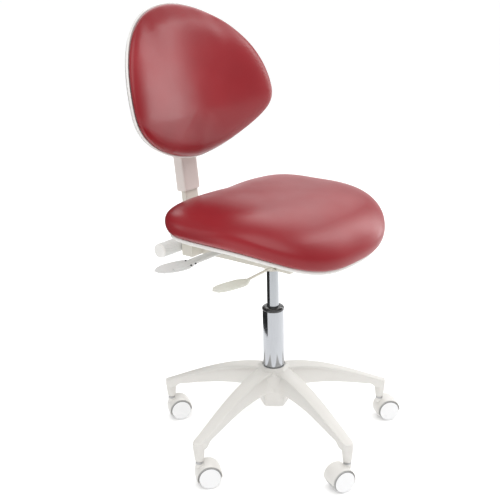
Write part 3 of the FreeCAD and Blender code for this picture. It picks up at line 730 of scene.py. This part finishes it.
def arm_grid(angle, steps=64):
    """An arm from inside the hub to beyond its post, as rows of sections across the radius."""
    circle = POST_CIRCLE / MM
    bend = np.linspace(-0.9, math.pi / 2, 18)
    out = np.concatenate([np.linspace(29, circle - 14, steps), circle + END_ROUND * np.sin(bend)])
    top = HUB_TOP / MM + top_curve(np.minimum(out, circle + 6))
    bottom = HUB_TOP / MM + bottom_curve(np.minimum(out, 246)) - 14 * smoothstep(240, 264, out) ** 2
    half = np.interp(out, [29, 50, 250, circle - 12, 300], [21, 19.6, 13.4, END_ROUND, END_ROUND])
    rounding = np.sqrt(np.maximum(1 - np.clip((out - circle) / END_ROUND, 0, 1) ** 2, 0.0004))
    recess = 7.0 * smoothstep(30, 42, out) * (1 - smoothstep(110, 246, out))
    section = arm_section(half * rounding * MM, (top - bottom) * MM, np.maximum(recess, 0.05) * rounding * MM)
    forward = np.array([math.cos(angle), math.sin(angle), 0])
    side = np.array([-math.sin(angle), math.cos(angle), 0])
    centre = (out * MM)[:, None] * forward + (top * MM)[:, None] * UP
    return centre[:, None] + section[..., :1] * side + section[..., 1:] * UP


def hub_flats(angle):
    """Five flats: radius = flat / cos(angle from its middle), met by a circle in a smooth minimum."""
    fifth = 2 * math.pi / 5
    local = (angle - FIRST_FLAT + fifth / 2) % fifth - fifth / 2
    return (np.cos(local) ** 30 + (1 / 1.19) ** 30) ** (-1 / 30)


END_ROUND = 13.0
first, second, _ = cross_axes(UP)
FIRST_FLAT = math.atan2(posts[0] @ second, posts[0] @ first) + math.pi / 5
top_curve = np.poly1d(np.polyfit([29, 87, 150, 212, 276], [-5, -11, -28, -52, -80], 4))
bottom_curve = np.poly1d(np.polyfit([29, 120, 190, 236], [-60, -63, -74, -84], 3))
arms = [arm_grid(math.atan2(post[1], post[0])) for post in posts]
post_profile = soften([(4.0, 60.2), (8.4, 60.2), (10.0, 65.0), (11.6, 80.0), (12.6, 98.0), (11.0, 106.0)],
                      1.2) * MM
post_shells = [turned(post_profile, (post[0], post[1], 0), steps=40) for post in posts]
hub_outside = soften([(29.6, 91.4), (30.2, 91.6), (30.8, 94.0), (35.0, 125.0), (40.5, 155.0), (44.0, 172.0),
                      (43.5, 176.5), (39.5, 180.0), (31.0, 186.5), (29.4, 188.4)], 1.5) * MM
hub_bore = np.array([(28.1, 188.8), (28.1, 91.4)]) * MM
hub_shell = np.concatenate([turned(hub_outside, (0, 0, 0), steps=180, wobble=hub_flats),
                            turned(hub_bore, (0, 0, 0), steps=180)])
hand_over(lay_surface("base_arms", *arms, *post_shells), "base", "painted_base", base_coat, "base_star")
hand_over(lay_surface("base_hub", hub_shell, ends="ring"), "base", "painted_base", base_coat)


# %% [markdown]
# ## The gas lift
# The column is a chromed tube with a black bush at its mouth, and a thinner chromed cylinder slides in it.
# They are turned profiles, fine enough that the mirror finish shows no flats.

# %% Column, bush and cylinder
def turned_from(node, name, profile, body, slot, finish, radius=0.6):
    """A turned piece on the column's axis; heights are in millimetres, hollow pieces repeat their profile."""
    shape = turned(soften(profile, radius, closed=True) * MM, (0, 0, 0), steps=128)
    return hand_over(lay_surface(name, shape, ends="ring"), body, slot, finish, node)


column_foot, column_top = (corner[2] / MM for corner in span("column_tube"))
turned_from("column_tube", "chromed_column",
            [(23.1, column_foot), (25, column_foot), (25, column_top), (23.1, column_top)],
            "base", "chromed_column", chrome)
turned_from("column_bush", "column_bush_ring",
            [(14.1, column_top - 58), (22.9, column_top - 58), (22.9, column_top), (25.2, column_top),
             (26, column_top + 1.5), (26, column_top + 5.5), (24, column_top + 8.5), (19, column_top + 10),
             (14.8, column_top + 10), (14.1, column_top + 8)], "base", "dark_bush", bush_plastic, 0.9)
lift_low, lift_high = (corner[2] / MM for corner in span("gas_cylinder"))
turned_from("gas_cylinder", "chromed_cylinder",
            [(5.2, lift_low), (14, lift_low), (14, lift_high), (4.2, lift_high), (4.2, lift_high - 15),
             (11.8, lift_high - 17), (11.8, lift_low + 8), (5.2, lift_low + 8)],
            "lift", "lift_steel", rod_chrome)


# %% [markdown]
# ## Levers
# The height lever is a thin rod that ends in a flat leaf, and the tilt lever a flat strip with a wider leaf
# turned back. Each is one section carried along a bent line while its width and thickness change.

# %% Lever blades
def smooth_path(corners, steps=60):
    """A quadratic B-spline through the middles of a few corners, sampled evenly."""
    corners = np.asarray(corners, float) * MM
    padded = np.vstack([2 * corners[0] - corners[1], corners, 2 * corners[-1] - corners[-2]])
    t = np.linspace(0, len(corners) - 1e-6, steps)
    k = np.floor(t).astype(int)
    f = (t - k)[:, None]
    first = (padded[k] + padded[k + 1]) / 2
    last = (padded[k + 1] + padded[np.minimum(k + 2, len(padded) - 1)]) / 2
    return (1 - f) ** 2 * first + 2 * f * (1 - f) * padded[k + 1] + f ** 2 * last


def along(values, steps=60):
    """Spreads a few values in millimetres evenly over the rows, with smooth changes."""
    places = np.linspace(0, 1, len(values))
    t = np.linspace(0, 1, steps)
    k = np.clip((t * (len(values) - 1)).astype(int), 0, len(values) - 2)
    f = smoothstep(0, 1, (t - places[k]) / (places[k + 1] - places[k]))
    values = np.asarray(values, float) * MM
    return values[k] * (1 - f) + values[k + 1] * f


paddle_path = smooth_path([(-138, -31.5, 446.6), (-158, -28, 446.4), (-184, -20.5, 446), (-210, -13, 445.4)])
paddle_shape = carried(rounded_section(2.7, 44), paddle_path,
                       along([3.0, 9, 15, 18.4, 19.4, 19.6, 19.6, 19.2, 17.8, 14.0, 1.5]),
                       along([3.0, 4.8, 5.2, 5.4, 5.4, 5.4, 5.4, 5.4, 5.2, 4.6, 1.0]))
hand_over(lay_surface("height_paddle", paddle_shape), "height_lever", "lever_plastic", paddle_plastic,
          "height_lever_paddle")

strip_path = smooth_path([(-24, 110, 464), (-80, 115, 464.4), (-140, 121, 462), (-176, 126, 458)])
strip_shape = carried(rounded_section(3.2, 40), strip_path, along([7.5, 8.5, 9.5, 10.5, 10.5, 9.5, 5]),
                      along([2.5, 3, 4, 4.8, 4.8, 4, 2]), up=(-0.16, -0.12, 0.98))
shaft_shape = turned(soften([(1, -16), (2.5, -16), (2.5, 16), (1, 16)], 0.4) * MM,
                     pivot("tilt_lever_turn"), (0, 1, 0), 28)
hand_over(lay_surface("tilt_strip", strip_shape, shaft_shape), "tilt_lever", "lever_plastic", lever_plastic,
          "tilt_lever_arm")
leaf_path = smooth_path([(-148, 122, 458.6), (-166, 131, 458), (-188, 142, 457), (-212, 154, 456)])
leaf_shape = carried(rounded_section(2.7, 44), leaf_path,
                     along([6, 11, 15.5, 17.6, 18.4, 18.4, 18.0, 17.2, 15.2, 11.5, 1.5]),
                     along([3.6, 4.2, 4.4, 4.4, 4.2, 4.2, 4.0, 3.8, 3.4, 2.8, 0.6]), up=(-0.27, -0.21, 0.94))
hand_over(lay_surface("tilt_leaf", leaf_shape), "tilt_lever", "lever_plastic", lever_plastic,
          "tilt_lever_paddle")
screw_places = ((-152, 130, 465.6), UP), ((-154, 112, 459.2), -UP), ((-141, 110, 460.2), -UP)
screw_heads = [turned(soften([(1.0, -1.6), (2.1, -1.4), (2.3, 0.6), (1.0, 2.4)], 0.5) * MM,
                      np.array(place) * MM, way, steps=24) for place, way in screw_places]
hand_over(lay_surface("tilt_screws", *screw_heads), "tilt_lever", "steel", screw_black)


# %% [markdown]
# ## The clamp knob
# A ribbed grip turns the clamp bolt. Its radius is a cosine of the angle, raised to keep the ribs rounded
# and the grooves narrow, and the outer face is slightly domed.

# %% Knob
knob_centre = pivot("clamp_knob_turn") * np.array([0, 1, 1])
knob_low, knob_high = span("back_knob")
start, stop = -knob_high[0] / MM, -knob_low[0] / MM


def ribs(angle):
    """28 rounded ribs, half a millimetre deep."""
    return 1 - 0.045 * (0.5 - 0.5 * np.cos(28 * angle)) ** 3


grip = turned(soften([(6, start), (15.5, start), (17.5, start + 3), (17.5, stop - 6)], 1.2) * MM, knob_centre,
              (-1, 0, 0), 224, ribs)
end_cap = turned(soften([(12, stop - 10), (16.6, stop - 8), (17.3, stop - 5), (16.8, stop - 2),
                         (13, stop - 0.4), (2, stop)], 1.5) * MM, knob_centre, (-1, 0, 0), 72)
hand_over(lay_surface("knob_grip", grip), "knob", "knob_plastic", knob_plastic, "back_knob")
hand_over(lay_surface("knob_end", end_cap), "knob", "knob_plastic", shell_plastic)


# %% [markdown]
# ## Casters
# Each caster is a barrel-shaped hood over two wheels. The hood is one section, a T with a crowned top,
# swept over the upper half of a turn about the axle. The wheels carry domed white caps, and a thin dark
# ring between the cap and the hood is painted shade, standing for the shadow in that gap.

# %% Hood, wheels and caps
WHEEL = (span("caster_wheels_1")[1][2] - span("caster_wheels_1")[0][2]) / 2


def swept_section(section, centre, axle, start, stop, steps):
    """A closed outline (across, radius) swept about the axle from one angle to another."""
    axle = np.asarray(axle) / np.linalg.norm(axle)
    ahead = np.cross(axle, UP)
    turn = np.radians(np.linspace(start, stop, steps))
    spoke = np.cos(turn)[:, None] * ahead + np.sin(turn)[:, None] * UP
    across, radius = np.asarray(section, float).T
    return np.asarray(centre) + radius[None, :, None] * spoke[:, None] + across[None, :, None] * axle


def make_caster(number):
    """One caster, placed by its own swivel and roll joints."""
    post, wheel = pivot(f"caster_swivel_{number}"), pivot(f"caster_roll_{number}")
    axle = np.array(joints[f"caster_roll_{number}"]["axis"])
    rim = WHEEL / MM
    hood_section = soften([(-3.3, 8), (3.3, 8), (3.3, rim + 0.9), (21.2, rim + 0.9), (21.7, rim + 1.5),
                           (20.5, rim + 2.4), (10, rim + 3.4), (-10, rim + 3.4), (-20.5, rim + 2.4),
                           (-21.7, rim + 1.5), (-21.2, rim + 0.9), (-3.3, rim + 0.9)], 0.8, closed=True,
                          steps=4)
    leading = np.cross(axle, UP) @ (post - wheel) > 0
    hood = swept_section(hood_section * MM, wheel, axle, *((-22, 184) if leading else (-4, 202)), 72)
    boss = turned(soften([(6, 44), (8.0, 44), (9.2, 50), (9.2, 54.6), (7.0, 55.8)], 1.0) * MM,
                  (post[0], post[1], 0), steps=40)
    hub = turned(soften([(4.1, -3.3), (9, -3.3), (9, 3.3), (4.1, 3.3)], 0.5, closed=True) * MM, wheel, axle)
    fork = f"caster_fork_{number}"
    hand_over(lay_surface(f"caster_hood_{number}_shell", hood, boss), fork, "caster_plastic", hood_plastic,
              f"caster_hood_{number}")
    hand_over(lay_surface(f"caster_hub_{number}", hub, ends="ring"), fork, "caster_plastic", hood_plastic)
    treads, caps, rings = [], [], []
    for way in (1, -1):
        treads.append(turned(soften([(4.2, 4.9), (rim - 4, 4.9), (rim - 0.4, 7), (rim, 11), (rim, 18),
                                     (rim - 0.6, 21), (rim - 2.4, 22.6), (4.2, 22.8)], 1.0) * MM, wheel,
                             way * axle))
        # A thin dark disc between tread and cap on each side: painted shadow of the gap under the hood.
        rings.append(turned(soften([(rim - 5.0, 22.2), (rim - 1.5, 22.5), (rim - 1.5, 23.2),
                                    (rim - 5.0, 23.4)], 0.3) * MM, wheel, way * axle))
        caps.append(turned(soften([(rim - 5, 22.4), (rim - 2.2, 23.0), (rim - 2.0, 24.3), (rim - 3.2, 25.1),
                                   (rim - 4.6, 24.9), (rim - 5.8, 24.7), (15, 25.3), (8, 25.8), (1, 26.0)],
                                  0.8) * MM, wheel, way * axle))
    body = f"caster_wheel_{number}"
    hand_over(lay_surface(f"caster_treads_{number}", *treads), body, "wheel_tread", tread_plastic,
              f"caster_wheels_{number}")
    hand_over(lay_surface(f"caster_caps_{number}_domed", *caps), body, "caster_plastic", cap_plastic,
              f"caster_caps_{number}")
    hand_over(lay_surface(f"caster_shadow_rings_{number}", *rings), body, "wheel_tread", painted_shadow_finish)


for number in range(1, 6):
    make_caster(number)


# %% [markdown]
# ## Design nodes that stay
# The housing, pins, boards and screws are right as designed. They keep their shapes and only take a finish.

# %% Finishes for the design's own nodes
KEPT = {
    mechanism_coat: ("mech_housing", "taper_socket", "seat_plate", "back_bracket", "height_lever_rod"),
    steel: ("caster_sockets", "thrust_bearing", "piston_rod", "rod_clip", "seat_pivot_pin", "back_pivot_bolt",
            "valve_pin", "seat_screws", "knob_stud", "back_screws", "ratchet_rack", "ratchet_pawl",
            *(f"caster_stem_{number}" for number in range(1, 6)),
            *(f"caster_axle_{number}" for number in range(1, 6))),
    plywood: ("seat_board", "back_board"),
    guide_plastic: ("hub_sleeve", "cylinder_guide"),
}
for finish, nodes in KEPT.items():
    for node in nodes:
        materials = frame["nodes"][node].data.materials
        materials.clear()
        materials.append(finish)


# %% [markdown]
# ## Floor, light and camera
# A pale floor under even daylight keeps the surroundings white. A low wall of light and a box above it,
# both beyond the stool, glance off the seat. A tall strip at the sitter's left draws the long highlight on
# the backrest. Chrome only looks like chrome beside something dark, so a black screen stands at the left,
# where nothing but a mirror sees it.

# %% Studio
def studio_floor(half_side=45.0):
    """A plain level sheet, wide enough to reach the horizon."""
    mesh = bpy.data.meshes.new("studio_floor")
    mesh.from_pydata([(half_side * x, half_side * y, 0) for x, y in ((-1, -1), (1, -1), (1, 1), (-1, 1))], [],
                     [(0, 1, 2, 3)])
    floor = bpy.data.objects.new("studio_floor", mesh)
    bpy.context.scene.collection.objects.link(floor)
    floor.data.materials.append(skin("studio_paper", (0.90, 0.90, 0.90), (0.89, 0.89, 0.89), 0.8, 40, 0.0001,
                                     Emission_Color=(1, 1, 1, 1), Emission_Strength=0.25))


def dark_flag(reach=0.75, tall=0.95, steps=24):
    """A dark screen on an arc about the column that only mirrors see: it draws the chrome's dark edge."""
    angle = CAMERA_AZIMUTH - math.pi / 2 - np.radians(np.linspace(62, 160, steps))
    foot = np.stack([reach * np.cos(angle), reach * np.sin(angle), 0 * angle], 1)
    points = np.vstack([foot, foot + tall * UP])
    faces = [(k, k + 1, k + 1 + steps, k + steps) for k in range(steps - 1)]
    mesh = bpy.data.meshes.new("dark_flag")
    mesh.from_pydata(points.tolist(), [], faces)
    flag = bpy.data.objects.new("dark_flag", mesh)
    flag.visible_camera = flag.visible_diffuse = flag.visible_shadow = False
    bpy.context.scene.collection.objects.link(flag)
    flag.data.materials.append(skin("black_felt", (0.02, 0.02, 0.02), (0.015, 0.015, 0.015), 0.9, 300,
                                    0.0002))


def daylight(strength, softness, place):
    """One even light from far away, so that the floor is as bright at the horizon as under the stool."""
    light = bpy.data.lights.new("daylight", "SUN")
    light.energy, light.angle = strength, math.radians(softness)
    lamp = bpy.data.objects.new("daylight", light)
    first, second, third = cross_axes(place)
    lamp.matrix_world = Matrix([[*row, 0] for row in np.stack([first, second, third], 1)] + [[0, 0, 0, 1]])
    bpy.context.scene.collection.objects.link(lamp)


def soft_box(name, place, aim, width, height, watts):
    """A rectangular area light that looks from one point at another."""
    light = bpy.data.lights.new(name, "AREA")
    light.shape, light.size, light.size_y, light.energy = "RECTANGLE", width, height, watts
    lamp = bpy.data.objects.new(name, light)
    first, second, third = cross_axes(np.asarray(place, float) - np.asarray(aim, float))
    lamp.matrix_world = Matrix([[*row, spot] for row, spot in zip(np.stack([first, second, third], 1), place)]
                               + [[0, 0, 0, 1]])
    bpy.context.scene.collection.objects.link(lamp)


def look_through(distance, height, azimuth, pitch, yaw, roll, lens):
    """A camera that stands off the column's axis and is turned by its own small yaw, pitch and roll."""
    turn = np.array([[math.cos(azimuth), -math.sin(azimuth), 0], [math.sin(azimuth), math.cos(azimuth), 0],
                     [0, 0, 1]])
    side = np.array([math.cos(yaw), -math.sin(yaw), 0])
    level = np.array([math.sin(yaw), math.cos(yaw), 0])
    forward = math.cos(pitch) * level - math.sin(pitch) * UP
    above = math.sin(pitch) * level + math.cos(pitch) * UP
    right = math.cos(roll) * side + math.sin(roll) * above
    top = math.cos(roll) * above - math.sin(roll) * side
    axes = turn @ np.stack([right, top, -forward], 1)
    place = turn @ np.array([0, -distance, height])
    data = bpy.data.cameras.new("studio_camera")
    data.lens, data.sensor_width = lens, 36
    camera = bpy.data.objects.new("studio_camera", data)
    camera.matrix_world = Matrix([[*row, spot] for row, spot in zip(axes, place)] + [[0, 0, 0, 1]])
    bpy.context.scene.collection.objects.link(camera)
    bpy.context.scene.camera = camera


CAMERA_AZIMUTH, CAMERA_PITCH, CAMERA_YAW, CAMERA_ROLL = (math.radians(angle) for angle in
                                                         (-52.8, 18.03, -1.54, -1.23))
look_through(1.906, 1.096, CAMERA_AZIMUTH, CAMERA_PITCH, CAMERA_YAW, CAMERA_ROLL, 63.0)
studio_floor()
dark_flag()
daylight(2.1, 70, (-0.5, -0.6, 1.6))
soft_box("far_wall", (2.7, 2.05, 1.1), (0, 0, 0.6), 5.0, 1.5, 17)
soft_box("high_box", (1.75, 1.35, 2.35), (0, 0, 0.6), 3.4, 0.9, 25)
soft_box("left_hand_strip", (2.3, -0.8, 1.55), (0, 0, 0.9), 0.5, 2.5, 25)
soft_box("rear_strip", (-1.6, 1.7, 1.2), (0, 0, 0.6), 0.35, 1.6, 6)
world = bpy.data.worlds.new("studio_air")
world.use_nodes = True
world.node_tree.nodes["Background"].inputs["Color"].default_value = (1, 1, 1, 1)
world.node_tree.nodes["Background"].inputs["Strength"].default_value = 0.30
bpy.context.scene.world = world
bpy.context.scene.view_settings.view_transform = "Standard"
